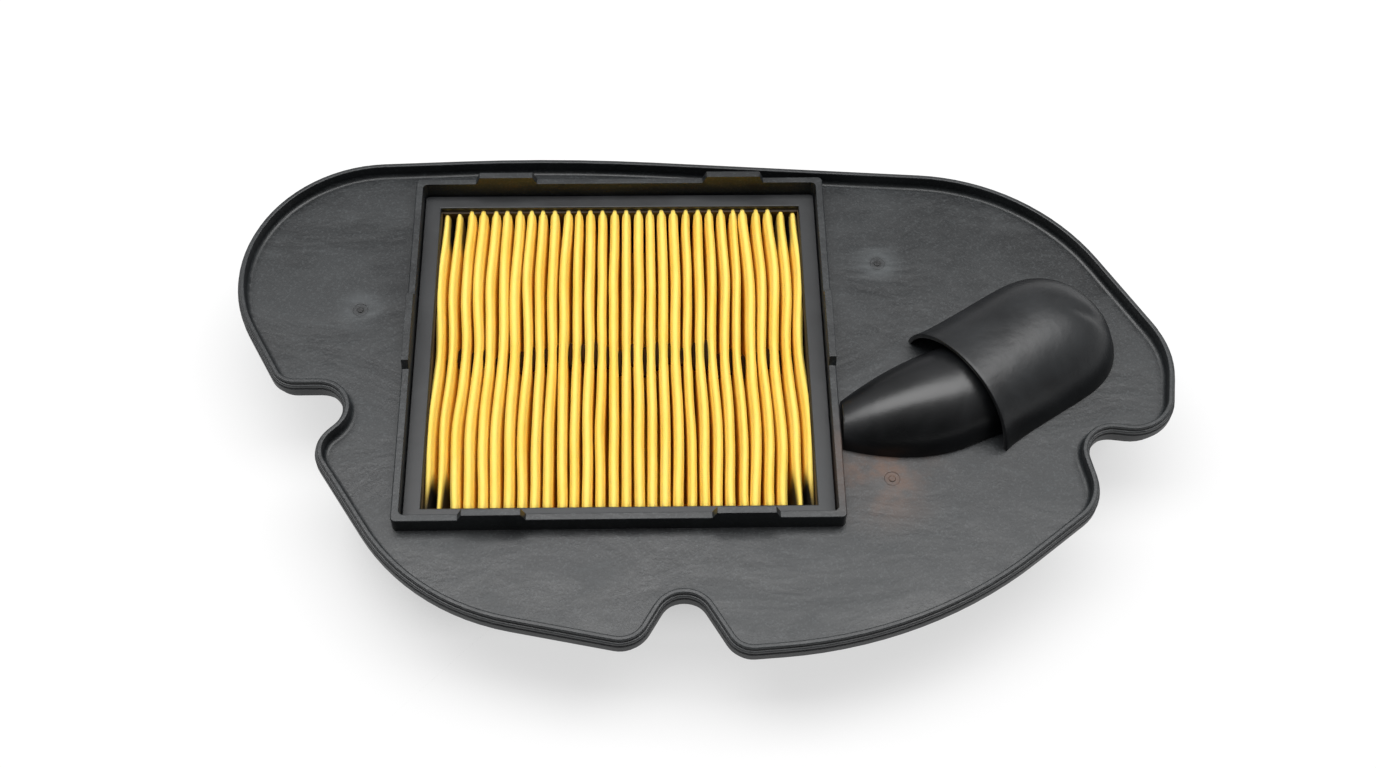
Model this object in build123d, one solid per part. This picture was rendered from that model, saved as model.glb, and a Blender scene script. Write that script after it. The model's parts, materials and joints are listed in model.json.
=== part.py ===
from build123d import *
import math
import os

# Scooter air filter: a moulded carrier plate with a rimmed edge, a rectangular well for a pleated
# paper cartridge, and a hooded air port beside it.
# Plan positions are measured from the centre of the well: +X along the plate towards the hood,
# +Y towards the straight far edge, +Z up, millimetres.  Heights are measured from the surface on
# which the bottom of the well stands.  export() moves every piece to the centre of the outline.

OVERCUT = 1.0              # how far a cutting shape runs past what it cuts

# ---- cartridge, the size that the rest is built around -------------------------------------
PLEATS = 30                # folds in the paper
PLEAT_PITCH = 4.0          # ridge to ridge
MEDIA_LENGTH = 114.0       # length of one fold
MEDIA_DEPTH = 23.6         # height of one fold
PAPER = 0.55               # thickness of the resin-stiffened paper
BEAD = 1.3                 # adhesive bead that seals each end of the folds
STRIP = 1.1                # paper strip that closes each side of the pack
MEDIA_SIDE_ROOM = 0.2      # adhesive line between the outer fold and its strip
FRAME_WALL = 1.4           # side wall of the cartridge frame
FLANGE_LIP_X = 0.8         # how far the flange reaches in over the side strips
FLANGE_LIP_Y = 0.5         # how far the flange reaches in over the end beads
FLANGE_T = 2.0             # thickness of the frame's flange
FLANGE_BEARING = 2.5       # width of flange that bears on the well's shoulder
PLEAT_DROP = 1.3           # ridges lie this far below the face of the flange
GASKET_T = 1.4             # foam gasket under the flange
SPACER_LENGTH = 9.0        # hot-melt spacer in each valley, along the fold
SPACER_HEIGHT = 3.0
SPACER_DROP = 3.2          # top of a spacer below the ridges
CARTRIDGE_GAP = 0.5        # running gap all round the cartridge in the well
FRAME_DEEPER = 0.5         # the frame's wall reaches this far below the folds
CARTRIDGE_UNDER = 1.6      # room between the support grid and the frame's wall

# ---- carrier plate ---------------------------------------------------------------------------
PLATE_T = 2.2
WELL_WALL = 2.3
COLLAR_HEIGHT = 6.0        # well wall above the plate's face
COLLAR_CORNER = 1.6        # corner of the well's walls, inside and out
TONGUE_HEIGHT = 3.2        # snap tongue above the collar
TONGUE_SLOPE = 1.4         # how far each end of a tongue leans in
TONGUE_FAR = 20.5          # length of a tongue in the far and near walls
TONGUE_SIDE = 28.6         # length of a tongue in the left and right walls
TONGUE_SPREAD = 38.2       # far and near tongues, from the middle
TONGUE_SIDE_Y = 3.2        # middle of the left and right tongues
SHOULDER_T = 2.2
FLOOR_T = 2.0
FLOOR_LIP = 5.0            # inward lip at the bottom of the well
RIM_HEIGHT = 5.0
RIM_WALL = 1.5
RIM_FILLET = 1.4
EDGE_ROUND = 0.4
FLANGE_STEP_LOW = 2.2      # underside of the outward step, above the plate's face
FLANGE_STEP_HIGH = 3.7     # top of the outward step, above the plate's face
FLANGE_STEP_OUT = 0.7
SEAL_SEAT = 0.4            # the seal's seat lies this far inside the rim's outer face
SEAL_OUT = 1.0             # outer face of the seal's band outside the rim's outer face
SEAL_BAND_DEEP = 0.7       # the band reaches this far below the plate's face
SEAL_WAIST = 0.1           # below the band the seal lies this far inside the rim's outer face
SEAL_WAIST_SEAT = 1.4      # and its seat this far
SEAL_FOOT = 3.4            # the seal's foot reaches this far in under the plate
SEAL_WELL_GAP = 0.2        # the foot is cut back to clear the well by this much
SEAL_FOOT_T = 0.8
SEAL_LIP = 1.0             # half-round sealing lip under the foot
SEAL_LIP_IN = 1.7          # the lip's centre line, inside the rim's outer face
RIB_T = 1.4
RIB_DEPTH = 4.0
RIB_RING_IN = 5.6          # outer face of the rib ring, inside the rim's outer face
RIB_STEP = 0.5             # straight ribs are this much shallower than the ring
RIBS_ACROSS = ((-1, 44.0), (-1, 12.0), (1, 44.0), (1, -56.0))    # side of the well, place along Y
RIBS_NEAR = (-46.0, 4.0, 52.0)                                   # places along X
GATE_RADIUS = 1.0          # broken-off moulding gates on the plate's face
GATE_DISH = 2.4
GATE_HEIGHT = 0.3

# ---- support grid ----------------------------------------------------------------------------
GRID_T = 2.0
GRID_GAP = 0.3
GRID_RAIL = 4.0
GRID_BAR = 1.8
GRID_BARS_X = 7
GRID_BARS_Y = 5

# ---- hood, barrel and port -------------------------------------------------------------------
HOOD_ANGLE = 33.0          # axis of the hood, from +X
HOOD_MOUTH_X = 38.2        # centre of the hood's mouth, out from the well's right wall
HOOD_MOUTH_Y = -18.7
HOOD_ROOM = 5.0            # room between the barrel and the inside of the hood
HOOD_SINK = 3.5            # axis of the hood below the plate's face
HOOD_LENGTH = 56.0
HOOD_WALL = 1.8
HOOD_CORNER = 17.0         # plan radius of the hood's closed end
HOOD_BROW = 20.0           # side-view radius of the hood's closed end
BARREL_ANGLE = 24.0        # axis of the barrel, from +X
BARREL_RADIUS = 17.2       # half width at its widest
BARREL_RISE = 0.95         # height over half width
BARREL_SIDE = 1.2          # the barrel's axis lies this far to the near side of the mouth's centre
BARREL_REACH = 46.0        # from the hood's mouth back past the well wall
BARREL_INSIDE = 7.0        # length of the barrel inside the hood
BARREL_FULL = 5.0          # the barrel keeps its full width this far out of the hood
BARREL_TAPER = 0.0077      # half width lost, per millimetre squared beyond that
BARREL_BEND = 0.0035       # sideways bend to the far side, per millimetre squared
BARREL_STATIONS = 7        # sections that shape the barrel
BARREL_WALL = 1.8
BARREL_GAP = 0.8           # slot between the barrel and the well wall
BARREL_LEDGE = 1.0         # plate left inside the barrel's foot
PORT_RADIUS = 13.0         # bore that receives the intake pipe
PORT_WALL = 2.0
PORT_LENGTH = 14.0         # spigot below the plate
PORT_SETBACK = 34.0        # from the hood's mouth to the port's axis
RING_GROOVE = 0.8          # depth of the groove in the spigot
RING_HEIGHT = 3.0
RING_OUT = 1.4             # how far the sealing ring stands out of the spigot
RING_UP = 3.0              # groove above the spigot's end

# ---- sizes that follow -----------------------------------------------------------------------
MEDIA_WIDTH = PLEATS * PLEAT_PITCH
FRAME_IN_X = MEDIA_WIDTH + 2 * (MEDIA_SIDE_ROOM + STRIP)
FRAME_IN_Y = MEDIA_LENGTH + 2 * BEAD
FRAME_OUT_X = FRAME_IN_X + 2 * FRAME_WALL
FRAME_OUT_Y = FRAME_IN_Y + 2 * FRAME_WALL
TUB_X = FRAME_OUT_X + 2 * CARTRIDGE_GAP
TUB_Y = FRAME_OUT_Y + 2 * CARTRIDGE_GAP
FLANGE_X = TUB_X + 2 * FLANGE_BEARING
FLANGE_Y = TUB_Y + 2 * FLANGE_BEARING
COLLAR_X = FLANGE_X + 2 * CARTRIDGE_GAP
COLLAR_Y = FLANGE_Y + 2 * CARTRIDGE_GAP
WELL_X = COLLAR_X + 2 * WELL_WALL
WELL_Y = COLLAR_Y + 2 * WELL_WALL
FRAME_CORNER = COLLAR_CORNER - CARTRIDGE_GAP
FRAME_BOTTOM = FLOOR_T + GRID_T + CARTRIDGE_UNDER
MEDIA_BOTTOM = FRAME_BOTTOM + FRAME_DEEPER
MEDIA_TOP = MEDIA_BOTTOM + MEDIA_DEPTH
PLATE_TOP = MEDIA_TOP + PLEAT_DROP
PLATE_BOTTOM = PLATE_TOP - PLATE_T
FLANGE_BOTTOM = PLATE_TOP - FLANGE_T
SHOULDER_TOP = FLANGE_BOTTOM - GASKET_T
SEAL_BAND_LOW = PLATE_TOP - SEAL_BAND_DEEP
COLLAR_TOP = PLATE_TOP + COLLAR_HEIGHT
RIM_TOP = PLATE_TOP + RIM_HEIGHT
RING_SEAT = PORT_RADIUS + PORT_WALL - RING_GROOVE
HOOD_RADIUS = BARREL_RADIUS + HOOD_ROOM + HOOD_WALL
MOUTH = Vector(WELL_X / 2 + HOOD_MOUTH_X, HOOD_MOUTH_Y)
HOOD_DIR = Vector(1, 0).rotate(Axis.Z, HOOD_ANGLE)
PORT = MOUTH + HOOD_DIR * PORT_SETBACK
UP = (0, 0, 1)

# Corners of the plate's outline, anticlockwise from the far left: which side of the well the
# corner is measured from (-1, 0 or 1), how far from it, the same across the plate, and the
# corner's radius.  Corners 3, 7 and 11 are the notches that clear the housing's screw bosses.
OUTLINE = (
    (-1, -84.9, 1, 4.9, 45.5),
    (-1, -38.2, 0, -15.0, 8.0),
    (-1, -4.3, 0, -15.0, 9.0),
    (-1, -26.8, 0, -37.6, 9.5),
    (-1, 7.3, -1, -26.2, 70.0),
    (0, 4.7, -1, -40.2, 9.0),
    (0, 19.0, -1, -15.4, 8.5),
    (0, 34.6, -1, -42.4, 8.0),
    (1, 22.1, -1, -38.5, 140.0),
    (1, 78.8, 0, -59.7, 15.0),
    (1, 74.0, 0, -32.5, 8.8),
    (1, 103.3, 0, -36.6, 14.0),
    (1, 109.0, 0, -4.5, 30.0),
    (1, 70.8, 1, -1.2, 70.0),
    (-1, 47.9, 1, 10.0, 600.0),
)
GATES = ((-1, -15.9, 16.0), (1, 17.0, 33.3), (1, 15.4, -49.0))


def outline_corners(grow):
    """Corners and radii of the plate's outline, its sides moved outwards by grow."""
    points = []
    for side_x, dx, side_y, dy, radius in OUTLINE:
        points.append(Vector(side_x * WELL_X / 2 + dx, side_y * WELL_Y / 2 + dy))
    count = len(points)
    ways = [(points[(i + 1) % count] - points[i]).normalized() for i in range(count)]
    corners = []
    for i in range(count):
        way_in = ways[i - 1]
        way_out = ways[i]
        turn = math.atan2(way_in.cross(way_out).Z, way_in.dot(way_out))
        # moving both sides out by grow moves the corner along their bisector
        out_in = Vector(way_in.Y, -way_in.X)
        out_out = Vector(way_out.Y, -way_out.X)
        shift = (out_in + out_out) * (grow / (1 + math.cos(turn)))
        radius = OUTLINE[i][4] + (grow if turn > 0 else -grow)
        corners.append((points[i] + shift, way_in, way_out, turn, radius))
    return corners


def outline_face(grow=0.0):
    """Face inside the plate's outline moved outwards by grow: straight sides, tangent arcs."""
    edges = []
    ends = []
    for corner, way_in, way_out, turn, radius in outline_corners(grow):
        reach = radius * math.tan(abs(turn) / 2)
        start = corner - way_in * reach
        finish = corner + way_out * reach
        inward = (way_out - way_in).normalized()
        middle = corner + inward * (radius / math.cos(turn / 2) - radius)
        ends.append((start, finish))
        edges.append(ThreePointArc(start, middle, finish))
    for i, (start, finish) in enumerate(ends):
        edges.append(Line(ends[i - 1][1], start))
    return make_face(edges)


def slab(face, low, high):
    """The face drawn up from one height to another."""
    return Pos(0, 0, low) * extrude(face, amount=high - low, dir=UP)


def block(size_x, size_y, low, high, corner=0.0):
    """Upright block centred on the well."""
    face = RectangleRounded(size_x, size_y, corner) if corner else Rectangle(size_x, size_y)
    return slab(face, low, high)


def ring(outer_x, outer_y, inner_x, inner_y, low, high, corner=0.0):
    """Upright rectangular tube centred on the well."""
    hole = block(inner_x, inner_y, low - OVERCUT, high + OVERCUT, corner)
    return block(outer_x, outer_y, low, high, corner) - hole


def edges_at(shape, height, face):
    """Edges of the shape that run along the face's outline at one height."""
    outline = Pos(0, 0, height) * face.face().outer_wire()
    return [e for e in shape.edges() if abs(e.position_at(0.5).Z - height) < 0.001
            and outline.distance_to(e.position_at(0.5)) < 0.001]


def tray():
    """Plate with its rim: outward step, seat for the seal, rounded edges."""
    step_low = PLATE_TOP + FLANGE_STEP_LOW
    step_high = PLATE_TOP + FLANGE_STEP_HIGH
    body = slab(outline_face(-SEAL_WAIST_SEAT), PLATE_BOTTOM, SEAL_BAND_LOW)
    body += slab(outline_face(-SEAL_SEAT), SEAL_BAND_LOW, step_low)
    step = slab(outline_face(FLANGE_STEP_OUT), step_low, step_high)
    body += fillet(edges_at(step, step_high, outline_face(FLANGE_STEP_OUT)), EDGE_ROUND)
    body += slab(outline_face(), step_high, RIM_TOP)
    inside = outline_face(-RIM_WALL)
    body -= slab(inside, PLATE_TOP, RIM_TOP + OVERCUT)
    body = fillet(edges_at(body, PLATE_TOP, inside), RIM_FILLET)
    body = fillet(edges_at(body, RIM_TOP, inside), EDGE_ROUND)
    return fillet(edges_at(body, RIM_TOP, outline_face()), EDGE_ROUND)


def tongue(length):
    """Snap tongue on top of the collar, its ends leaning in, along X."""
    half = length / 2
    foot = COLLAR_TOP - OVERCUT
    lean = half - TONGUE_SLOPE
    profile = Polyline((-half, foot), (half, foot), (half, COLLAR_TOP), (lean, COLLAR_TOP + TONGUE_HEIGHT),
                       (-lean, COLLAR_TOP + TONGUE_HEIGHT), (-half, COLLAR_TOP), close=True)
    face = Plane.XZ * make_face(profile)
    return extrude(face, amount=WELL_WALL / 2, both=True)


def tongues():
    """Six snap tongues: two in each long wall, one in each short wall."""
    wall_y = (WELL_Y - WELL_WALL) / 2
    wall_x = (WELL_X - WELL_WALL) / 2
    made = []
    for side in (-1, 1):
        for end in (-1, 1):
            made.append(Pos(end * TONGUE_SPREAD, side * wall_y, 0) * tongue(TONGUE_FAR))
        made.append(Pos(side * wall_x, TONGUE_SIDE_Y, 0) * Rot(0, 0, 90) * tongue(TONGUE_SIDE))
    return made


def ribs():
    """Ribs under the plate: a ring inside the seal and straight ribs out from the well."""
    low = PLATE_BOTTOM - RIB_DEPTH
    ring_rib = slab(outline_face(-RIB_RING_IN), low, PLATE_BOTTOM)
    ring_rib -= slab(outline_face(-RIB_RING_IN - RIB_T), low - OVERCUT, PLATE_BOTTOM + OVERCUT)
    clip = slab(outline_face(-RIB_RING_IN - RIB_T / 2), low - OVERCUT, PLATE_BOTTOM + OVERCUT)
    made = [ring_rib]
    bar = Pos(0, 0, PLATE_BOTTOM - (RIB_DEPTH - RIB_STEP) / 2)
    for side, y in RIBS_ACROSS:
        made.append(bar * Pos(side * WELL_X, y, 0) * Box(WELL_X, RIB_T, RIB_DEPTH - RIB_STEP) & clip)
    for x in RIBS_NEAR:
        made.append(bar * Pos(x, -WELL_Y, 0) * Box(RIB_T, WELL_Y, RIB_DEPTH - RIB_STEP) & clip)
    return made


def port_spigot(radius, low, high):
    """Upright round bar on the port's axis."""
    return Pos(PORT.X, PORT.Y, (low + high) / 2) * Cylinder(radius, high - low)


def carrier_plate():
    """Plate, rim, well with collar and tongues, port spigot, ribs: one moulding."""
    body = tray()
    body += block(WELL_X, WELL_Y, SHOULDER_TOP - SHOULDER_T, COLLAR_TOP, COLLAR_CORNER)
    body += block(TUB_X + 2 * WELL_WALL, TUB_Y + 2 * WELL_WALL, 0, SHOULDER_TOP, COLLAR_CORNER)
    body = fillet(edges_at(body, COLLAR_TOP, RectangleRounded(WELL_X, WELL_Y, COLLAR_CORNER)), EDGE_ROUND)
    for piece in tongues():
        body += piece
    for piece in ribs():
        body += piece
    spigot_low = PLATE_BOTTOM - PORT_LENGTH
    body += port_spigot(PORT_RADIUS + PORT_WALL, spigot_low, PLATE_BOTTOM)
    body -= block(COLLAR_X, COLLAR_Y, SHOULDER_TOP, COLLAR_TOP + TONGUE_HEIGHT + OVERCUT, COLLAR_CORNER)
    body -= block(TUB_X, TUB_Y, FLOOR_T, SHOULDER_TOP + OVERCUT, COLLAR_CORNER)
    body -= block(TUB_X - 2 * FLOOR_LIP, TUB_Y - 2 * FLOOR_LIP, -OVERCUT, FLOOR_T + OVERCUT)
    body -= barrel_form(BARREL_WALL + BARREL_LEDGE, PLATE_T + RIB_DEPTH + OVERCUT)
    body -= port_spigot(PORT_RADIUS, spigot_low - OVERCUT, PLATE_TOP + OVERCUT)
    groove_low = spigot_low + RING_UP
    groove_high = groove_low + RING_HEIGHT
    groove = port_spigot(PORT_RADIUS + PORT_WALL + OVERCUT, groove_low, groove_high)
    body -= groove - port_spigot(RING_SEAT, groove_low - OVERCUT, groove_high + OVERCUT)
    for side, dx, y in GATES:
        x = side * WELL_X / 2 + dx
        body -= Pos(x, y, PLATE_TOP) * Cylinder(GATE_DISH, GATE_HEIGHT)
        body += Pos(x, y, PLATE_TOP - GATE_HEIGHT / 2) * Cylinder(GATE_RADIUS, 2 * GATE_HEIGHT)
    return body


def perimeter_seal():
    """Rubber seal pushed on the plate's edge: outer band, waist, foot under the plate, lip."""
    step_low = PLATE_TOP + FLANGE_STEP_LOW
    foot_low = PLATE_BOTTOM - SEAL_FOOT_T
    outer = outline_face(SEAL_OUT)
    body = slab(outer, SEAL_BAND_LOW, step_low)
    body -= slab(outline_face(-SEAL_SEAT), SEAL_BAND_LOW - OVERCUT, step_low + OVERCUT)
    body = fillet(edges_at(body, SEAL_BAND_LOW, outer), EDGE_ROUND)
    waist = slab(outline_face(-SEAL_WAIST), foot_low, SEAL_BAND_LOW)
    waist -= slab(outline_face(-SEAL_WAIST_SEAT), PLATE_BOTTOM, SEAL_BAND_LOW + OVERCUT)
    waist -= slab(outline_face(-SEAL_FOOT), foot_low - OVERCUT, PLATE_BOTTOM + OVERCUT)
    waist -= block(WELL_X + 2 * SEAL_WELL_GAP, WELL_Y + 2 * SEAL_WELL_GAP, foot_low - OVERCUT,
                   PLATE_BOTTOM + OVERCUT, COLLAR_CORNER)
    body += waist
    half = SEAL_LIP / 2
    lip = slab(outline_face(-SEAL_LIP_IN + half), foot_low - half, foot_low)
    lip -= slab(outline_face(-SEAL_LIP_IN - half), foot_low - OVERCUT, foot_low + OVERCUT)
    return body + lip


def hood_solid(inset, overrun):
    """Outer form of the hood drawn in by inset: a lying half round whose closed end is rounded
    both in plan and in side view.  overrun carries it out past its mouth."""
    radius = HOOD_RADIUS - inset
    length = HOOD_LENGTH - inset
    corner = HOOD_CORNER - inset
    brow = HOOD_BROW - inset
    crest = radius - HOOD_SINK
    tube = Pos(-overrun, 0, -HOOD_SINK) * Rot(0, 90, 0) * Cylinder(
        radius, length + overrun, align=(Align.CENTER, Align.CENTER, Align.MIN))
    plan = make_face(FilletPolyline(
        (-overrun, radius), (length, radius), (length, -radius), (-overrun, -radius),
        radius=corner, close=False) + Line((-overrun, -radius), (-overrun, radius)))
    plan = extrude(plan, amount=2 * radius, dir=UP)
    side = make_face(Curve() + [
        Line((-overrun, 0), (-overrun, crest)),
        Line((-overrun, crest), (length - brow, crest)),
        RadiusArc((length - brow, crest), (length, crest - brow), brow),
        Line((length, crest - brow), (length, 0)),
        Line((length, 0), (-overrun, 0)),
    ])
    side = extrude(Plane.XZ * side, amount=radius, both=True)
    return tube & plan & side


def to_mouth(shape, angle):
    """Puts a shape drawn along +X at the hood's mouth, turned to its axis, on the plate."""
    return Pos(MOUTH.X, MOUTH.Y, PLATE_TOP) * Rot(0, 0, angle) * shape


def duct_hood():
    """Half-round hood over the port, open towards the well."""
    body = hood_solid(0, 0)
    body -= hood_solid(HOOD_WALL, OVERCUT)
    return to_mouth(body, HOOD_ANGLE)


def barrel_section(station, inset, deep):
    """Half-oval section of the barrel across its axis, drawn in by inset, its foot carried down
    by deep.  Beyond its full stretch it narrows and bends aside with the distance squared."""
    beyond = max(0.0, -station - BARREL_FULL)
    half = BARREL_RADIUS - BARREL_TAPER * beyond ** 2 - inset
    rise = (BARREL_RADIUS - BARREL_TAPER * beyond ** 2) * BARREL_RISE - inset
    aside = BARREL_BEND * beyond ** 2 - BARREL_SIDE
    foot = [Line((-half, 0), (half, 0))]
    if deep:
        foot = [Polyline((-half, 0), (-half, -deep), (half, -deep), (half, 0))]
    arch = make_face(Curve() + [EllipticalCenterArc((0, 0), half, rise, start_angle=0, arc_size=180)] + foot)
    plane = Plane(origin=(station, aside, 0), x_dir=(0, 1, 0), z_dir=(1, 0, 0))
    return (plane * arch).face()


def barrel_form(inset, deep):
    """Outer form of the barrel drawn in by inset, cut off short of the well's wall."""
    first = BARREL_INSIDE - inset
    step = (first + BARREL_REACH) / (BARREL_STATIONS - 1)
    sections = [barrel_section(first - i * step, inset, deep) for i in range(BARREL_STATIONS)]
    body = to_mouth(loft(sections), BARREL_ANGLE)
    wall = WELL_X / 2 + BARREL_GAP + inset
    keep = Pos(wall, 0, 0) * Box(4 * BARREL_REACH, 4 * BARREL_REACH, 4 * BARREL_REACH,
                                 align=(Align.MIN, Align.CENTER, Align.CENTER))
    return body & keep


def duct_barrel():
    """Half-round barrel between the well and the hood, hollow from below."""
    return barrel_form(0, 0) - barrel_form(BARREL_WALL, OVERCUT)


def port_ring():
    """Rubber ring in the spigot's groove."""
    low = PLATE_BOTTOM - PORT_LENGTH + RING_UP
    outer = PORT_RADIUS + PORT_WALL + RING_OUT
    body = port_spigot(outer, low, low + RING_HEIGHT)
    body = fillet([e for e in body.edges() if e.geom_type == GeomType.CIRCLE], RING_HEIGHT / 3)
    return body - port_spigot(RING_SEAT, low - OVERCUT, low + RING_HEIGHT + OVERCUT)


def support_grid():
    """Grille on the well's floor lip that keeps the folds from bowing down."""
    size_x = TUB_X - 2 * GRID_GAP
    size_y = TUB_Y - 2 * GRID_GAP
    low = FLOOR_T
    high = FLOOR_T + GRID_T
    body = ring(size_x, size_y, size_x - 2 * GRID_RAIL, size_y - 2 * GRID_RAIL, low, high, COLLAR_CORNER)
    for i in range(GRID_BARS_X):
        x = size_x * ((i + 1) / (GRID_BARS_X + 1) - 0.5)
        body += Pos(x, 0, (low + high) / 2) * Box(GRID_BAR, size_y - GRID_RAIL, GRID_T)
    for i in range(GRID_BARS_Y):
        y = size_y * ((i + 1) / (GRID_BARS_Y + 1) - 0.5)
        body += Pos(0, y, (low + high) / 2) * Box(size_x - GRID_RAIL, GRID_BAR, GRID_T)
    return body


def cartridge_frame():
    """Plastic frame of the cartridge: flat flange on a four-sided wall round the paper."""
    body = block(FLANGE_X, FLANGE_Y, FLANGE_BOTTOM, PLATE_TOP, FRAME_CORNER)
    body += block(FRAME_OUT_X, FRAME_OUT_Y, FRAME_BOTTOM, FLANGE_BOTTOM, FRAME_CORNER)
    body -= block(FRAME_IN_X, FRAME_IN_Y, FRAME_BOTTOM - OVERCUT, FLANGE_BOTTOM)
    mouth_x = FRAME_IN_X - 2 * FLANGE_LIP_X
    mouth_y = FRAME_IN_Y - 2 * FLANGE_LIP_Y
    body -= block(mouth_x, mouth_y, FLANGE_BOTTOM - OVERCUT, PLATE_TOP + OVERCUT)
    return fillet(edges_at(body, PLATE_TOP, Rectangle(mouth_x, mouth_y)), EDGE_ROUND)


def cartridge_gasket():
    """Foam gasket stuck under the flange, bearing on the well's shoulder."""
    return ring(FLANGE_X, FLANGE_Y, TUB_X, TUB_Y, SHOULDER_TOP, FLANGE_BOTTOM, FRAME_CORNER)


def pleated_media():
    """One sheet of filter paper folded into upright pleats along Y, flat on ridges and roots."""
    half = PAPER / 2
    depth = PAPER * MEDIA_DEPTH / PLEAT_PITCH
    upper = [(-MEDIA_WIDTH / 2, MEDIA_BOTTOM + depth)]
    lower = [(-MEDIA_WIDTH / 2, MEDIA_BOTTOM)]
    for i in range(1, 2 * PLEATS):
        x = -MEDIA_WIDTH / 2 + i * PLEAT_PITCH / 2
        if i % 2:
            upper += [(x - half, MEDIA_TOP), (x + half, MEDIA_TOP)]
            lower += [(x, MEDIA_TOP - depth)]
        else:
            upper += [(x, MEDIA_BOTTOM + depth)]
            lower += [(x - half, MEDIA_BOTTOM), (x + half, MEDIA_BOTTOM)]
    upper.append((MEDIA_WIDTH / 2, MEDIA_BOTTOM + depth))
    lower.append((MEDIA_WIDTH / 2, MEDIA_BOTTOM))
    profile = Polyline(*upper, *reversed(lower), close=True)
    face = Plane.XZ * make_face(profile)
    return extrude(face, amount=MEDIA_LENGTH / 2, both=True)


def spacer_beads():
    """Hot-melt spacers that keep the pleats apart at mid-length, one in each valley."""
    half = PAPER / 2
    slope = 2 * MEDIA_DEPTH / PLEAT_PITCH
    high = MEDIA_TOP - SPACER_DROP
    low = high - SPACER_HEIGHT
    beads = []
    for i in range(1, PLEATS):
        x = -MEDIA_WIDTH / 2 + i * PLEAT_PITCH
        wide = (high - MEDIA_BOTTOM) / slope - half
        narrow = (low - MEDIA_BOTTOM) / slope - half
        profile = Polyline((x - narrow, low), (x + narrow, low), (x + wide, high), (x - wide, high),
                           close=True)
        face = Plane.XZ * make_face(profile)
        beads.append(extrude(face, amount=SPACER_LENGTH / 2, both=True))
    return Compound(beads)


def end_bead(side):
    """Adhesive bead that closes the ends of all the folds on one side of the frame."""
    y = side * (MEDIA_LENGTH + BEAD) / 2
    height = FLANGE_BOTTOM - MEDIA_BOTTOM
    return Pos(0, y, MEDIA_BOTTOM + height / 2) * Box(FRAME_IN_X, BEAD, height)


def side_strip(side):
    """Paper strip between the outer fold and the frame's wall."""
    x = side * (FRAME_IN_X - STRIP) / 2
    height = FLANGE_BOTTOM - MEDIA_BOTTOM
    return Pos(x, 0, MEDIA_BOTTOM + height / 2) * Box(STRIP, MEDIA_LENGTH, height)


def export(shape, node, centre):
    """Writes one piece, its plan origin moved to the centre of the whole outline."""
    export_step(Pos(-centre.X, -centre.Y, 0) * shape, os.path.join("parts", node + ".step"))


def main():
    os.makedirs("parts", exist_ok=True)
    centre = outline_face(SEAL_OUT).bounding_box().center()
    pieces = {
        "carrier_plate": carrier_plate(),
        "perimeter_seal": perimeter_seal(),
        "duct_hood": duct_hood(),
        "duct_barrel": duct_barrel(),
        "port_ring": port_ring(),
        "support_grid": support_grid(),
        "cartridge_frame": cartridge_frame(),
        "cartridge_gasket": cartridge_gasket(),
        "pleated_media": pleated_media(),
        "spacer_beads": spacer_beads(),
        "end_bead_far": end_bead(1),
        "end_bead_near": end_bead(-1),
        "side_strip_left": side_strip(-1),
        "side_strip_right": side_strip(1),
    }
    for node, shape in pieces.items():
        export(shape, node, centre)
    print("well centre in the row's frame:", round(-centre.X, 3), round(-centre.Y, 3))


main()
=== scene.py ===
"""Looks of a scooter air filter: moulded carrier plate, pleated yellow paper cartridge, and a hood
over the air port.  Lengths are metres in the row frame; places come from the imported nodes."""

import json
import math

import bmesh
import bpy
import numpy as np
from mathutils import Matrix, Vector

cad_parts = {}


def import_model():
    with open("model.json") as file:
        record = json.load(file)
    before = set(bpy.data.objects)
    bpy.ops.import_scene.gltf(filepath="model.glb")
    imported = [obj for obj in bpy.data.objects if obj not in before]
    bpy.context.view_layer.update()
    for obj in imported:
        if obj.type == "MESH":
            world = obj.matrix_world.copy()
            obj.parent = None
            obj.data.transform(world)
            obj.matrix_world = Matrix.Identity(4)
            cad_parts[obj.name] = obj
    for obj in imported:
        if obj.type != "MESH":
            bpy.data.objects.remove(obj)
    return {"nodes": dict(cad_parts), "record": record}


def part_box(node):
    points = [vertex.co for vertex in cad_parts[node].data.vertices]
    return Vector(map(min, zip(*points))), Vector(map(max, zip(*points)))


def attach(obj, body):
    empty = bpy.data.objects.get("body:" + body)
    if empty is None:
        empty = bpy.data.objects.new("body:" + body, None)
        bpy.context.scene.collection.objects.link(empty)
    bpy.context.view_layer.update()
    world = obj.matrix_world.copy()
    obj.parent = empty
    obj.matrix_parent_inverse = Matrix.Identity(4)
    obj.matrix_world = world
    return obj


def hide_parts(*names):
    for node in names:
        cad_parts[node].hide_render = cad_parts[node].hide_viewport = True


MM = 0.001
SEED = 7
WELD = 0.001 * MM          # points closer than this become one
SHARP = math.radians(50)   # edges turned by more than this are rounded
SMOOTH = {"interpolation_type": "SMOOTHSTEP"}    # makes a range ease in and out

# ---- carrier plate ---------------------------------------------------------------------------
WELL_EDGE = 2.8 * MM       # outer face of the well's wall, out from the cartridge's flange
GATES = ((-84.4 * MM, 16.0 * MM), (85.5 * MM, 33.3 * MM), (83.9 * MM, -49.0 * MM))
STAIN = (79.9 * MM, -46.0 * MM)          # like the gates, from the middle of the well
GATE_HALO = 11.0 * MM
GATE_DOT = 4.0 * MM
STAIN_REACH = 26.0 * MM

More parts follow.
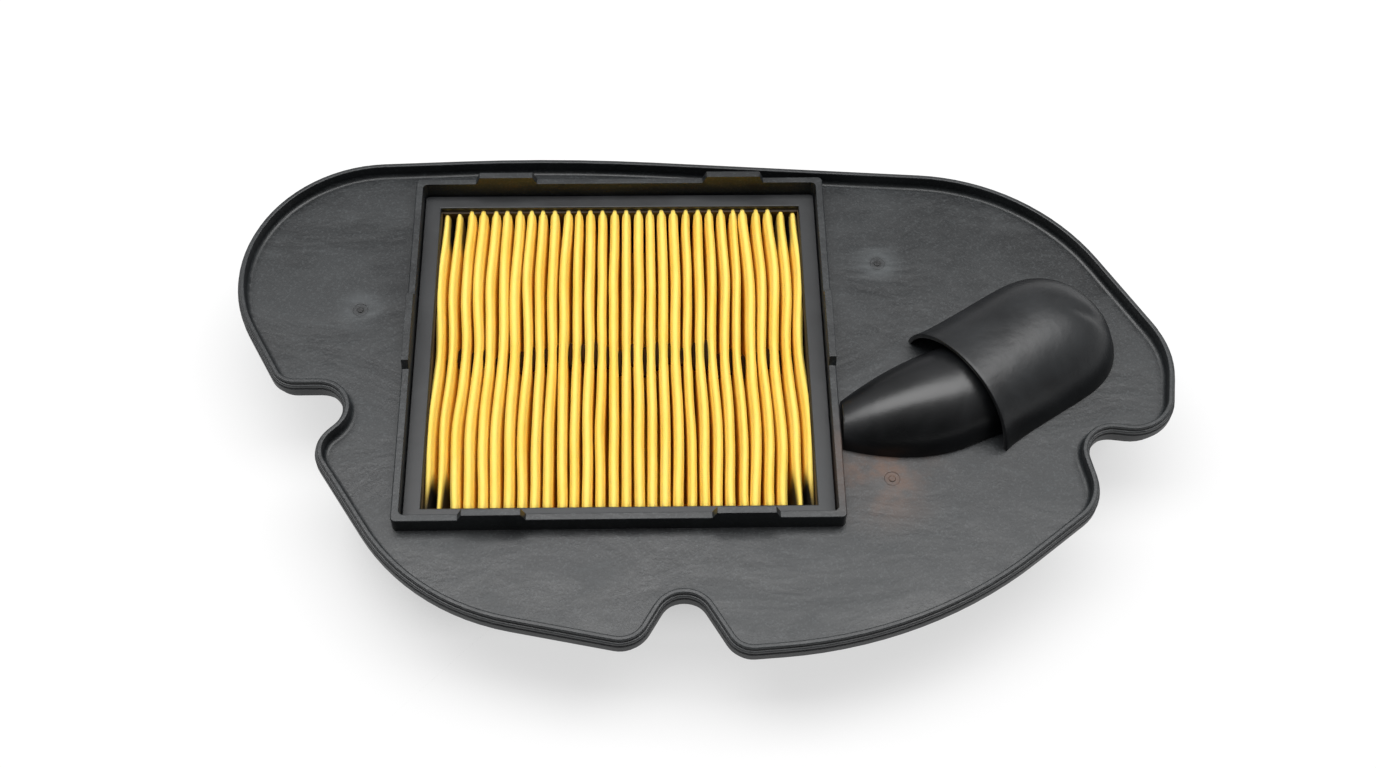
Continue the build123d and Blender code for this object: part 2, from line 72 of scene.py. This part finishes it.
# ---- paper pack ------------------------------------------------------------------------------
PLEATS = 30
ROWS = 61                  # stations along a fold
RIDGE = 0.92 * MM          # radius of a rounded ridge
FLARE = 0.17               # how soon the flanks spread below the ridge
FLANK = (0.04, 0.1, 0.2, 0.4, 0.7, 1.0)  # points down a flank, as shares of its height
ROOT = 0.2 * MM            # radius of a rounded root
PAPER = 0.3 * MM
BOW = 1.6 * MM             # outward bow of the outermost folds between ends and middle
EMBED = 0.8 * MM           # how far the folds run into the adhesive at each end
WANDER = 0.19 * MM         # each ridge's own waviness
WAVES = (1, 2, 3, 5)       # its waves along a fold
WIDTH_SPREAD = 0.06        # how much the folds differ in width
DROP_SPREAD = 0.15 * MM    # and in height
END_PINCH = 0.2            # share of a ridge's width lost at its glued ends
END_REACH = 1.1 * MM
END_DROP = 0.2 * MM
MID_PINCH = 0.08           # the same at the hot-melt spacers
MID_REACH = 5.0 * MM
MID_DROP = 0.25 * MM
SLUMP_FOLDS = 2            # folds on each side that slump
SLUMP = 1.5 * MM           # sideways slump of those ridges near their ends
SLUMP_DROP = 1.6 * MM      # how much lower each lies than the next one in
SLUMP_PINCH = 0.25
SLUMP_REACH = 13.0 * MM
SLUMP_FAR = 0.4            # share of the slump at the far ends
CORNER_SHADE_REACH = (11.0 * MM, 16.0 * MM)    # painted shade: how far the darkening reaches in from the corners
CORNER_SHADE_DEPTH = (3.5 * MM, 1.2 * MM)      # the painted shade is full and gone at these depths below the ridges
PAINTED_LIGHT_DEPTH = (10.0 * MM, 0.8 * MM)      # painted light and shade: the paper is painted orange at the first depth below the ridges and pale at the second

# ---- hot-melt blobs --------------------------------------------------------------------------
BLOB_AROUND = 12
BLOB_ALONG = 9
BLOB_INNER = 0.6           # beyond this share of the way to the middle all blobs lie high
BLOB_RISEN = 0.3           # share of the other blobs that lie high
BLOB_HIGH = (4.2 * MM, 5.4 * MM)         # depth of a blob's centre below the ridges
BLOB_LOW = (6.5 * MM, 9.0 * MM)
BLOB_ASIDE = 1.2 * MM
BLOB_LONG = (3.0 * MM, 5.8 * MM)         # half length, half width and half height
BLOB_WIDE = (0.8 * MM, 0.95 * MM)
BLOB_TALL = (1.6 * MM, 2.4 * MM)
BLOB_LUMPS = 0.15

# ---- hood ------------------------------------------------------------------------------------
HOOD_ANGLE = math.radians(33.0)
HOOD_HALF = 23.9 * MM      # half width
HOOD_RISE = 24.0 * MM      # crest above the hood's sunken axis
HOOD_SINK = 3.5 * MM
HOOD_FOOT = 0.3 * MM       # lower edge below the plate's face
HOOD_TAIL = 0.6 * MM       # height that is left at the closed end
HOOD_STRAIGHT = 29.0 * MM  # from the mouth to where the end starts to round off
HOOD_END = 29.0 * MM       # length of the rounded end
HOOD_PLAN = 2.9            # power of the end's rounding in plan
HOOD_SIDE = 2.3            # and in side view
HOOD_FLARE = 1.3 * MM
HOOD_FLARE_REACH = 5.0 * MM
HOOD_LEAN = 3.0 * MM       # the crown leans aside at the mouth
HOOD_LEAN_REACH = 16.0 * MM
CREASE_DEPTH = 1.3 * MM    # crease that slants over the rounded end
CREASE_MIDDLE = 47.0 * MM
CREASE_REACH = 7.0 * MM
CREASE_START = 38.0 * MM   # where it crosses the hood's axis
CREASE_SLANT = 0.7
CREASE_WIDTH = 2.8 * MM
HOOD_WALL = 1.4 * MM
HOOD_EDGE = 0.3 * MM
HOOD_GRID = (22, 57)       # rows in each half of its length, columns round it
PORT_SETBACK = 34.0 * MM   # from the hood's mouth to the port's axis

# ---- barrel ----------------------------------------------------------------------------------
BARREL_ANGLE = math.radians(24.0)
BARREL_HALF = 17.2 * MM
BARREL_RISE = 0.95         # height over half width
BARREL_SIDE = 1.2 * MM     # axis to the near side of the mouth's centre
BARREL_FIRST = 7.0 * MM    # end inside the hood
BARREL_LAST = -46.0 * MM   # end past the well's wall, where it is cut off
BARREL_FULL = 5.0 * MM
BARREL_TAPER = 7.7         # half width lost, per metre squared beyond the full stretch
BARREL_BEND = 3.5          # sideways bend, per metre squared
BARREL_FOOT = 0.02         # angle by which each edge dips below the plate's face
BARREL_WALL = 1.4 * MM
BARREL_EDGE = 0.5 * MM
BARREL_GRID = (54, 49)
BARREL_GAP = 0.8 * MM      # slot between the barrel and the well's wall

# ---- studio ----------------------------------------------------------------------------------
FLOOR_SIZE = 40.0
FLOOR_DROP = 0.1 * MM      # keeps the floor off the well's underside
FLOOR_GREY = 0.27
FLOOR_GLOW = 0.64
CONTACT_SHADOW_REACH = 25.0 * MM  # painted contact shadow: the floor's glow fades within this reach of what stands on it
SOFTBOX_AT = (0.0, 0.24, 1.25)
SOFTBOX_AIM = (0.0, 0.1, 0.0)
SOFTBOX_SIZE = (1.9, 0.7)
SOFTBOX_POWER = 24.0
DOME_LIGHT = 0.42
DOME_LEAST = 0.06
CAMERA_AT = (-0.01694, -0.30656, 0.51197)
CAMERA_LENS = 47.09
CAMERA_SENSOR = 36.0
CAMERA_YAW = -2.298
CAMERA_TILT = 32.762
CAMERA_ROLL = 1.442


def write_size():
    """Updates the view layer."""
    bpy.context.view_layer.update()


# ---- materials -------------------------------------------------------------------------------

def linear(code):
    """Linear colour of an sRGB hex code."""
    parts = [int(code[i:i + 2], 16) / 255 for i in (0, 2, 4)]
    parts = [p / 12.92 if p <= 0.04045 else ((p + 0.055) / 1.055) ** 2.4 for p in parts]
    return (*parts, 1.0)


def add(tree, kind, inputs=(), out=None, **settings):
    """Adds a node and returns one of its outputs, the first live one unless named.  Inputs are a list
    for the live sockets in their order or go by name, and each is a constant or another output."""
    node = tree.nodes.new("ShaderNode" + kind)
    for name, value in settings.items():
        setattr(node, name, value)
    if isinstance(inputs, dict):
        pairs = [(node.inputs[name], value) for name, value in inputs.items()]
    else:
        pairs = list(zip([s for s in node.inputs if s.enabled], inputs))
    for socket, value in pairs:
        if isinstance(value, bpy.types.NodeSocket):
            tree.links.new(value, socket)
        else:
            socket.default_value = value
    if out:
        return node.outputs[out]
    return next((s for s in node.outputs if s.enabled), None)


def new_material(name):
    """Empty node material, its tree and its object coordinates."""
    material = bpy.data.materials.new(name)
    material.use_nodes = True
    material.node_tree.nodes.clear()
    return material, material.node_tree, add(material.node_tree, "TexCoord", out="Object")


def shaded(tree, inputs):
    """Ends a material with a principled shader."""
    add(tree, "OutputMaterial", {"Surface": add(tree, "BsdfPrincipled", inputs)})


def layered(tree, colour, layers):
    """The colour with each layer's colour mixed over it by the layer's mask."""
    for mask, code in layers:
        colour = add(tree, "Mix", [mask, colour, linear(code)], data_type="RGBA")
    return colour


def patches(tree, at, size, detail=2.0, rough=0.55, warp=0.0, stretch=(1.0, 1.0, 1.0)):
    """Random patches of about the given size, divided by the stretch along each axis."""
    spread = add(tree, "VectorMath", [at, stretch], operation="MULTIPLY")
    return add(tree, "TexNoise", {"Vector": spread, "Scale": 1 / size, "Detail": detail,
                                  "Roughness": rough, "Distortion": warp})


def closeness(tree, at, point, reach):
    """1 at a place in plan, falling smoothly to 0 at the given reach."""
    flat = add(tree, "VectorMath", [at, (1, 1, 0)], operation="MULTIPLY")
    gap = add(tree, "VectorMath", [flat, (*point, 0)], operation="DISTANCE")
    return add(tree, "MapRange", [gap, reach, 0.0], **SMOOTH)


def relief(tree, coarse, fine, share, strength, depth, edge):
    """Normal of a surface with coarse relief, a share of fine relief, and rounded sharp edges."""
    fine = add(tree, "Math", [fine, share], operation="MULTIPLY")
    height = add(tree, "Math", [coarse, fine], operation="ADD")
    eased = add(tree, "Bevel", {"Radius": edge}, samples=4)
    return add(tree, "Bump", {"Height": height, "Strength": strength, "Distance": depth,
                              "Normal": eased})


def carrier_material(gates, stain):
    """Injection-moulded talc-filled polypropylene: satin dark grey with pale flow blush, a halo
    round each gate, cloudy sheen and a brown stain beside one gate.  The talc's grain is drawn
    0.7 mm across, coarser than it is, so that it shows."""
    material, tree, at = new_material("polypropylene_talc_filled_moulded")
    cloud = patches(tree, at, 45.5 * MM, 4.0, 0.6, 0.6, (1.0, 1.6, 1.0))
    flow = patches(tree, at, 22.2 * MM, 5.0, 0.65, 1.2, (1.0, 3.0, 1.0))
    grain = patches(tree, at, 0.667 * MM)
    streaks = add(tree, "MapRange", [flow, 0.35, 0.65, 0.3, 0.8], **SMOOTH)
    layers = [(add(tree, "MapRange", [cloud, 0.3, 0.7], **SMOOTH), "202325"),
              (add(tree, "MapRange", [flow, 0.55, 0.8, 0.0, 0.4], **SMOOTH), "3C4042")]
    for gate in gates:
        halo = closeness(tree, at, gate, GATE_HALO)
        halo = add(tree, "Math", [halo, streaks], operation="MULTIPLY")
        layers += [(halo, "4A4E50"), (closeness(tree, at, gate, GATE_DOT), "040405")]
    dirt = patches(tree, at, 11.1 * MM, 4.0)
    dirt = add(tree, "MapRange", [dirt, 0.38, 0.62, 0.15, 0.95], **SMOOTH)
    spot = closeness(tree, at, stain, STAIN_REACH)
    layers += [(add(tree, "Math", [spot, dirt], operation="MULTIPLY"), "553B2B"),
               (add(tree, "MapRange", [grain, 0.5, 0.72, 0.0, 0.35], **SMOOTH), "484C4E")]
    sheen = add(tree, "MapRange", [cloud, 0.3, 0.7, 0.31, 0.43], **SMOOTH)
    dulled = add(tree, "MapRange", [flow, 0.4, 0.7, 0.0, 0.08], **SMOOTH)
    shaded(tree, {"Base Color": layered(tree, linear("141618"), layers),
                  "Roughness": add(tree, "Math", [sheen, dulled], operation="ADD"),
                  "Normal": relief(tree, cloud, grain, 0.09, 0.35, 1.2 * MM, 0.35 * MM),
                  "Specular IOR Level": 0.5})
    return material


def moulded(name, dark, light, rough, bump=0.25, gloss=0.5):
    """Plain moulded plastic or rubber: two close shades, satin, faintly cloudy, with a fine grain
    drawn 0.6 mm across so that it shows."""
    material, tree, at = new_material(name)
    cloud = patches(tree, at, 23.8 * MM, 4.0, 0.6, 0.4)
    grain = patches(tree, at, 0.556 * MM)
    mask = add(tree, "MapRange", [cloud, 0.3, 0.7], **SMOOTH)
    sheen = add(tree, "MapRange", [cloud, 0.3, 0.7, rough - 0.04, rough + 0.05], **SMOOTH)
    shaded(tree, {"Base Color": layered(tree, linear(dark), [(mask, light)]),
                  "Roughness": sheen,
                  "Normal": relief(tree, cloud, grain, 0.05, bump, 0.6 * MM, 0.3 * MM),
                  "Specular IOR Level": gloss})
    return material


def paper_material(low, high):
    """Resin-impregnated filter paper with fibre grain and slight light through the sheet; painted light
    and shade: pale ridges going orange into the roots, near-black below the ridges in the four corners."""
    material, tree, at = new_material("filter_paper_resin_impregnated")
    x, y, z = (add(tree, "SeparateXYZ", [at], out=axis) for axis in "XYZ")
    # painted light and shade: pale near the ridges, orange deeper into the folds
    pale = add(tree, "MapRange", [z, *(high[2] - d for d in PAINTED_LIGHT_DEPTH)], **SMOOTH)
    # painted shade: near-black in the four corners, below the ridges
    corner_shade = add(tree, "MapRange", [z, *(high[2] - d for d in CORNER_SHADE_DEPTH), 1.0, 0.0], **SMOOTH)
    for axis, place in enumerate((x, y)):
        half = (high[axis] - low[axis]) / 2
        gap = add(tree, "Math", [place, low[axis] + half], operation="SUBTRACT")
        gap = add(tree, "Math", [gap], operation="ABSOLUTE")
        reach = CORNER_SHADE_REACH[axis]
        edge = add(tree, "MapRange", [gap, half - reach, half - reach / 2], **SMOOTH)
        corner_shade = add(tree, "Math", [edge, corner_shade], operation="MULTIPLY")
    blotch = patches(tree, at, 16.7 * MM, 3.0, stretch=(3.0, 0.6, 1.0))
    fibre = patches(tree, at, 0.455 * MM, 3.0, stretch=(1.0, 0.35, 1.0))
    layers = [(pale, "FAD668"),
              (add(tree, "MapRange", [blotch, 0.4, 0.7, 0.0, 0.35], **SMOOTH), "F6BC30"),
              (add(tree, "MapRange", [fibre, 0.45, 0.75, 0.0, 0.18], **SMOOTH), "FFE27A"),
              (corner_shade, "140E05")]
    shaded(tree, {"Base Color": layered(tree, linear("FDBA10"), layers),
                  "Roughness": 0.72,
                  "Normal": add(tree, "Bump", {"Height": fibre, "Strength": 0.25,
                                               "Distance": 0.2 * MM}),
                  "Subsurface Weight": 0.25,
                  "Subsurface Radius": (2.5 * MM, 1.6 * MM, 0.5 * MM),
                  "Subsurface Scale": 1.0,
                  "Specular IOR Level": 0.35})
    return material


def floor_material():
    """White paper floor, lit mostly from above and glowing a little by itself; a painted contact
    shadow dims the glow where something stands close."""
    material, tree, _ = new_material("studio_paper_glow_painted_contact_shadow")
    # painted contact shadow: ambient occlusion dims the floor's glow
    near = add(tree, "AmbientOcclusion", {"Distance": CONTACT_SHADOW_REACH}, "AO", samples=8)
    shaded(tree, {"Base Color": (FLOOR_GREY, FLOOR_GREY, FLOOR_GREY, 1.0),
                  "Roughness": 0.9,
                  "Emission Color": (1.0, 1.0, 1.0, 1.0),
                  "Emission Strength": add(tree, "Math", [near, FLOOR_GLOW],
                                           operation="MULTIPLY")})
    return material


def paint(frame, node, material):
    """Gives a CAD node its material."""
    mesh = frame["nodes"][node].data
    mesh.materials.clear()
    mesh.materials.append(material)


# ---- meshes ----------------------------------------------------------------------------------

def placed(name, mesh, material):
    """Object with a smooth-shaded mesh and its material."""
    mesh.polygons.foreach_set("use_smooth", np.ones(len(mesh.polygons), dtype=bool))
    mesh.materials.append(material)
    made = bpy.data.objects.new(name, mesh)
    bpy.context.scene.collection.objects.link(made)
    return made


def surface(name, points, material):
    """Quad mesh from a grid of points, rows by columns by 3; its outside is the side from which a
    column turns anticlockwise into a row."""
    rows, columns = points.shape[:2]
    index = np.arange(rows * columns).reshape(rows, columns)
    quads = np.stack([index[:-1, :-1], index[:-1, 1:], index[1:, 1:], index[1:, :-1]], axis=-1)
    quads = quads.reshape(-1, 4)
    mesh = bpy.data.meshes.new(name)
    mesh.vertices.add(rows * columns)
    mesh.vertices.foreach_set("co", points.astype(np.float32).ravel())
    mesh.loops.add(quads.size)
    mesh.loops.foreach_set("vertex_index", quads.astype(np.int32).ravel())
    mesh.polygons.add(len(quads))
    mesh.polygons.foreach_set("loop_start", np.arange(0, quads.size, 4, dtype=np.int32))
    mesh.update(calc_edges=True)
    mesh.validate()
    return placed(name, mesh, material)


def walled(made, thickness):
    """Thickens a surface inwards."""
    wall = made.modifiers.new("wall", "SOLIDIFY")
    wall.thickness = thickness
    wall.offset = -1
    wall.use_even_offset = True


def rounded(made, radius):
    """Rounds the sharp edges of a shell."""
    rounding = made.modifiers.new("rounding", "BEVEL")
    rounding.width = radius
    rounding.segments = 2
    rounding.limit_method = "ANGLE"
    rounding.angle_limit = SHARP


def fold_profile(pitch, depth):
    """Half of one fold from ridge to root: sideways offset and depth below the ridge.
    ridge: x = r cos a, d = r (1 - sin a); flank: x = r + (w - r) u^FLARE, d straight in u;
    root: x = p/2 - r cos b."""
    points = []
    for angle in np.linspace(math.pi / 2, 0, 5):
        points.append((RIDGE * math.cos(angle), RIDGE * (1 - math.sin(angle))))
    wide = pitch / 2 - ROOT - RIDGE
    tall = depth - ROOT - RIDGE
    for share in FLANK:
        points.append((RIDGE + wide * share ** FLARE, RIDGE + tall * share))
    for angle in (math.pi / 4, math.pi / 2):
        points.append((pitch / 2 - ROOT * math.cos(angle), depth - ROOT * (1 - math.sin(angle))))
    return np.array(points)


def pleated_paper(material):
    """The folded sheet.  A fold's ridge is at x0 + side*BOW*sin(2 pi t)^2 + its own waves, scaled
    by height; its width shrinks by exp(-(d/reach)^2) at the ends and at mid-length."""
    low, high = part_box("pleated_media")
    rng = np.random.default_rng(SEED)
    pitch = (high[0] - low[0]) / PLEATS
    depth = high[2] - low[2]
    length = high[1] - low[1] + 2 * EMBED
    half = fold_profile(pitch, depth)
    left = np.stack([-half[::-1, 0], half[::-1, 1]], axis=1)
    profile = np.concatenate([left, half[1:]])
    t = np.linspace(0, 1, ROWS)
    along = low[1] - EMBED + t * length
    end = np.minimum(t, 1 - t) * length
    ends = np.exp(-(end / END_REACH) ** 2)
    middle = np.exp(-(np.abs(t - 0.5) * length / MID_REACH) ** 2)
    slump = np.exp(-(end / SLUMP_REACH) ** 2) * np.where(t > 0.5, SLUMP_FAR, 1.0)
    columns = []
    for fold in range(PLEATS):
        centre = low[0] + (fold + 0.5) * pitch
        side = (fold + 0.5) / PLEATS * 2 - 1
        outer = min(fold, PLEATS - 1 - fold)
        shift = side * BOW * np.sin(2 * np.pi * t) ** 2
        for wave in WAVES:
            tall = WANDER / wave * rng.normal()
            shift = shift + tall * np.sin(2 * np.pi * wave * t + rng.uniform(0, 2 * np.pi))
        width = 1 - END_PINCH * ends - MID_PINCH * middle
        width = width * (1 + WIDTH_SPREAD * rng.normal())
        drop = END_DROP * ends + MID_DROP * middle + DROP_SPREAD * rng.random()
        if outer < SLUMP_FOLDS:
            shift = shift + np.sign(side) * SLUMP * slump
            drop = drop + (SLUMP_FOLDS - outer) * SLUMP_DROP * slump
            width = width * (1 - SLUMP_PINCH * slump)
        for x, d in profile[:-1] if fold < PLEATS - 1 else profile:
            share = 1 - d / depth
            across = centre + x * (1 - (1 - width) * share) + shift * share
            across = np.clip(across, low[0], high[0])
            columns.append(np.stack([across, along, high[2] - d - drop * share], axis=1))
    made = surface("paper_folds", np.stack(columns, axis=1), material)
    thick = made.modifiers.new("thickness", "SOLIDIFY")
    thick.thickness = PAPER
    thick.offset = -1
    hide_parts("pleated_media")
    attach(made, "cartridge")
    return made


def spacers(material):
    """Hot-melt blobs between the folds: spheres stretched along the fold.  With p from pole to pole
    and a round the fold's direction, a blob's radius is sin(p)^0.6 (1 + lumps sin(3a + phase) sin p)."""
    low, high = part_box("pleated_media")
    rng = np.random.default_rng(SEED + 1)
    pitch = (high[0] - low[0]) / PLEATS
    middle = (low[1] + high[1]) / 2
    polar = np.linspace(0, math.pi, BLOB_ALONG)[:, None]
    angle = np.linspace(0, 2 * math.pi, BLOB_AROUND, endpoint=False)[None, :]
    blobs = []
    for valley in range(1, PLEATS):
        inner = 1 - abs(valley / PLEATS * 2 - 1)     # 0 at the sides, 1 in the middle
        high_up = inner > BLOB_INNER or rng.random() < BLOB_RISEN
        sunk = rng.uniform(*(BLOB_HIGH if high_up else BLOB_LOW))
        aside = rng.normal() * BLOB_ASIDE
        reach = rng.uniform(*BLOB_LONG)
        wide = rng.uniform(*BLOB_WIDE)
        tall = rng.uniform(*BLOB_TALL)
        phase = rng.uniform(0, 2 * math.pi)
        lumps = 1 + BLOB_LUMPS * np.sin(3 * angle + phase) * np.sin(polar)
        ring = np.clip(np.sin(polar), 0, 1) ** 0.6 * lumps
        x = low[0] + valley * pitch + wide * ring * np.cos(angle)
        y = middle + aside - reach * np.cos(polar) + 0 * angle
        z = high[2] - sunk + tall * ring * np.sin(angle)
        blobs.append(np.stack([x, y, z], axis=-1))
    points = np.array(blobs)
    index = np.arange(points.size // 3).reshape(points.shape[:3])
    after = np.roll(index, -1, axis=2)
    quads = np.stack([index[:, :-1], after[:, :-1], after[:, 1:], index[:, 1:]], axis=-1)
    mesh = bpy.data.meshes.new("hot_melt_blobs")
    mesh.from_pydata(points.reshape(-1, 3).tolist(), [], quads.reshape(-1, 4).tolist())
    work = bmesh.new()
    work.from_mesh(mesh)
    bmesh.ops.remove_doubles(work, verts=work.verts[:], dist=WELD)
    bmesh.ops.recalc_face_normals(work, faces=work.faces[:])
    work.to_mesh(mesh)
    work.free()
    made = placed("hot_melt_blobs", mesh, material)
    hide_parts("spacer_beads")
    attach(made, "cartridge")
    return made


def turned(points, origin, angle, height):
    """Points drawn along +X turned by the angle and set down at the origin."""
    cos, sin = math.cos(angle), math.sin(angle)
    x = origin.x + points[..., 0] * cos - points[..., 1] * sin
    y = origin.y + points[..., 0] * sin + points[..., 1] * cos
    return np.stack([x, y, height + points[..., 2]], axis=-1)


def hood_points(rows, columns):
    """Tube section closed by a rounded end.  At t = (a - straight) / end the half width is scaled
    by (1 - t^HOOD_PLAN)^(1/2) and the rise by (1 - t^HOOD_SIDE)^(1/2); the mouth flares and leans
    a little, and a crease of depth exp(-across^2 - along^2) slants over the end."""
    last = (1 - ((HOOD_SINK + HOOD_TAIL) / HOOD_RISE) ** 2) ** (1 / HOOD_SIDE)
    straight = np.linspace(0, HOOD_STRAIGHT, rows, endpoint=False)
    end = HOOD_STRAIGHT + HOOD_END * last * np.sin(np.linspace(0, math.pi / 2, rows))
    a = np.concatenate([straight, end])[:, None]
    t = np.maximum(0.0, (a - HOOD_STRAIGHT) / HOOD_END)
    wide = HOOD_HALF + HOOD_FLARE * np.exp(-a / HOOD_FLARE_REACH)
    wide = wide * (1 - t ** HOOD_PLAN) ** 0.5
    rise = HOOD_RISE * (1 - t ** HOOD_SIDE) ** 0.5
    start = np.arcsin(np.minimum(1.0, (HOOD_SINK - HOOD_FOOT) / rise))
    v = start + (math.pi - 2 * start) * np.linspace(0, 1, columns)[None, :]
    lean = -HOOD_LEAN * np.exp(-a / HOOD_LEAN_REACH)
    y = wide * np.cos(v) + lean * np.sin(v) ** 2
    crease = CREASE_DEPTH * np.exp(-((a - CREASE_MIDDLE) / CREASE_REACH) ** 2)
    crease = crease * np.exp(-((y + CREASE_SLANT * (a - CREASE_START)) / CREASE_WIDTH) ** 2)
    z = rise * np.sin(v) - HOOD_SINK - crease
    return np.stack([a + 0 * v, y, z], axis=-1)


def duct_hood(material, mouth, top):
    """Half-round hood open towards the well."""
    points = turned(hood_points(*HOOD_GRID), mouth, HOOD_ANGLE, top)
    made = surface("hood_shell", points, material)
    walled(made, HOOD_WALL)
    rounded(made, HOOD_EDGE)
    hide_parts("duct_hood")
    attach(made, "carrier")
    return made


def barrel_points(rows, columns):
    """Half-oval sections.  Beyond its full stretch by b the half width is R - taper b^2 and the
    centre moves aside by bend b^2.  The last two sections shrink on to the axis and close the end."""
    a = np.concatenate([np.linspace(BARREL_LAST, BARREL_FIRST, rows), [BARREL_FIRST] * 2])[:, None]
    share = np.concatenate([np.ones(rows), [0.5, 0.0]])[:, None]
    beyond = np.maximum(0.0, -a - BARREL_FULL)
    half = (BARREL_HALF - BARREL_TAPER * beyond ** 2) * share
    v = np.linspace(-BARREL_FOOT, math.pi + BARREL_FOOT, columns)[None, :]
    y = half * np.cos(v) + BARREL_BEND * beyond ** 2 - BARREL_SIDE
    z = half * BARREL_RISE * np.sin(v)
    return np.stack([a + 0 * v, y, z], axis=-1)


def duct_barrel(material, mouth, top, wall):
    """Half-round barrel from the well's wall into the hood, closed against the wall."""
    points = turned(barrel_points(*BARREL_GRID), mouth, BARREL_ANGLE, top)
    made = surface("barrel_shell", points, material)
    work = bmesh.new()
    work.from_mesh(made.data)
    bmesh.ops.remove_doubles(work, verts=work.verts[:], dist=WELD)
    cut = bmesh.ops.bisect_plane(work, geom=work.verts[:] + work.edges[:] + work.faces[:],
                                 plane_co=(wall + BARREL_GAP, 0, 0), plane_no=(-1, 0, 0),
                                 clear_outer=True)
    edges = [e for e in cut["geom_cut"] if isinstance(e, bmesh.types.BMEdge)]
    bmesh.ops.contextual_create(work, geom=edges)
    work.to_mesh(made.data)
    work.free()
    walled(made, BARREL_WALL)
    rounded(made, BARREL_EDGE)
    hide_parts("duct_barrel")
    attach(made, "carrier")
    return made


# ---- studio ----------------------------------------------------------------------------------

def softbox():
    """Rectangular light above the far side."""
    data = bpy.data.lights.new("softbox", "AREA")
    data.shape = "RECTANGLE"
    data.size, data.size_y = SOFTBOX_SIZE
    data.energy = SOFTBOX_POWER
    made = bpy.data.objects.new("softbox", data)
    made.location = SOFTBOX_AT
    aim = Vector(SOFTBOX_AIM) - Vector(SOFTBOX_AT)
    made.rotation_euler = aim.to_track_quat("-Z", "Y").to_euler()
    bpy.context.scene.collection.objects.link(made)


def dome():
    """White sky, dark below and towards the camera."""
    world = bpy.data.worlds.new("studio_world")
    bpy.context.scene.world = world
    world.use_nodes = True
    tree = world.node_tree
    tree.nodes.clear()
    at = add(tree, "TexCoord", out="Generated")
    y, z = (add(tree, "SeparateXYZ", [at], out=axis) for axis in "YZ")
    overhead = add(tree, "MapRange", [z, 0.0, 0.5], **SMOOTH)
    behind = add(tree, "MapRange", [y, -0.9, -0.1], **SMOOTH)
    sky = add(tree, "Math", [overhead, behind], operation="MULTIPLY")
    sky = add(tree, "Math", [sky, DOME_LIGHT, DOME_LEAST], operation="MULTIPLY_ADD")
    back = add(tree, "Background", {"Color": (1.0, 1.0, 1.0, 1.0), "Strength": sky})
    add(tree, "OutputWorld", {"Surface": back})


def studio():
    """White floor, softbox and dome."""
    bpy.ops.mesh.primitive_plane_add(size=FLOOR_SIZE, location=(0, 0, -FLOOR_DROP))
    floor = bpy.context.object
    floor.name = "floor"
    floor.data.materials.append(floor_material())
    softbox()
    dome()


def camera():
    """Camera above the near side, looking down on the plate."""
    data = bpy.data.cameras.new("camera")
    data.lens = CAMERA_LENS
    data.sensor_width = CAMERA_SENSOR
    made = bpy.data.objects.new("camera", data)
    turn = Matrix.Rotation(math.radians(CAMERA_YAW), 4, "Z")
    tilt = Matrix.Rotation(math.radians(CAMERA_TILT), 4, "X")
    roll = Matrix.Rotation(math.radians(CAMERA_ROLL), 4, "Z")
    made.matrix_world = Matrix.Translation(CAMERA_AT) @ turn @ tilt @ roll
    bpy.context.scene.collection.objects.link(made)
    bpy.context.scene.camera = made


def main():
    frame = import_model()
    write_size()
    low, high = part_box("cartridge_frame")
    well = Vector(((low[0] + high[0]) / 2, (low[1] + high[1]) / 2))
    top = high[2]
    wall = high[0] + WELL_EDGE
    port = next(m for m in frame["record"]["mounts"] if m["name"] == "air_port")["pos_m"]
    axis = Vector((math.cos(HOOD_ANGLE), math.sin(HOOD_ANGLE)))
    mouth = Vector((port[0], port[1])) - axis * PORT_SETBACK
    gates = [(well.x + x, well.y + y) for x, y in GATES]
    stain = (well.x + STAIN[0], well.y + STAIN[1])
    rubber = moulded("rubber_moulded_black", "17181A", "222426", 0.55)
    potting = moulded("adhesive_potting_cured", "2A1D09", "3A280C", 0.6, 0.6)
    strip = moulded("filter_paper_strip", "3A2A08", "5A4210", 0.8, 0.4)
    paint(frame, "carrier_plate", carrier_material(gates, stain))
    paint(frame, "perimeter_seal", rubber)
    paint(frame, "port_ring", rubber)
    paint(frame, "support_grid", moulded("polypropylene_moulded_black", "161718", "1F2021", 0.5))
    paint(frame, "cartridge_frame",
          moulded("polypropylene_frame_moulded", "1C1D1F", "252729", 0.45))
    paint(frame, "cartridge_gasket", moulded("foam_closed_cell", "101010", "1A1A1A", 0.9, 0.6))
    paint(frame, "end_bead_far", potting)
    paint(frame, "end_bead_near", potting)
    paint(frame, "side_strip_left", strip)
    paint(frame, "side_strip_right", strip)
    pleated_paper(paper_material(*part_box("pleated_media")))
    spacers(moulded("hot_melt_adhesive_dark", "1C0F04", "301C08", 0.85, 0.6, gloss=0.08))
    duct_hood(moulded("polypropylene_hood_satin_moulded", "0F1012", "1F2123", 0.4, 0.9),
              mouth, top)
    duct_barrel(moulded("polypropylene_duct_satin_moulded", "0C0D0E", "17181A", 0.31, 0.5),
                mouth, top, wall)
    studio()
    camera()
    bpy.context.scene.view_settings.view_transform = "Standard"
    write_size()


main()
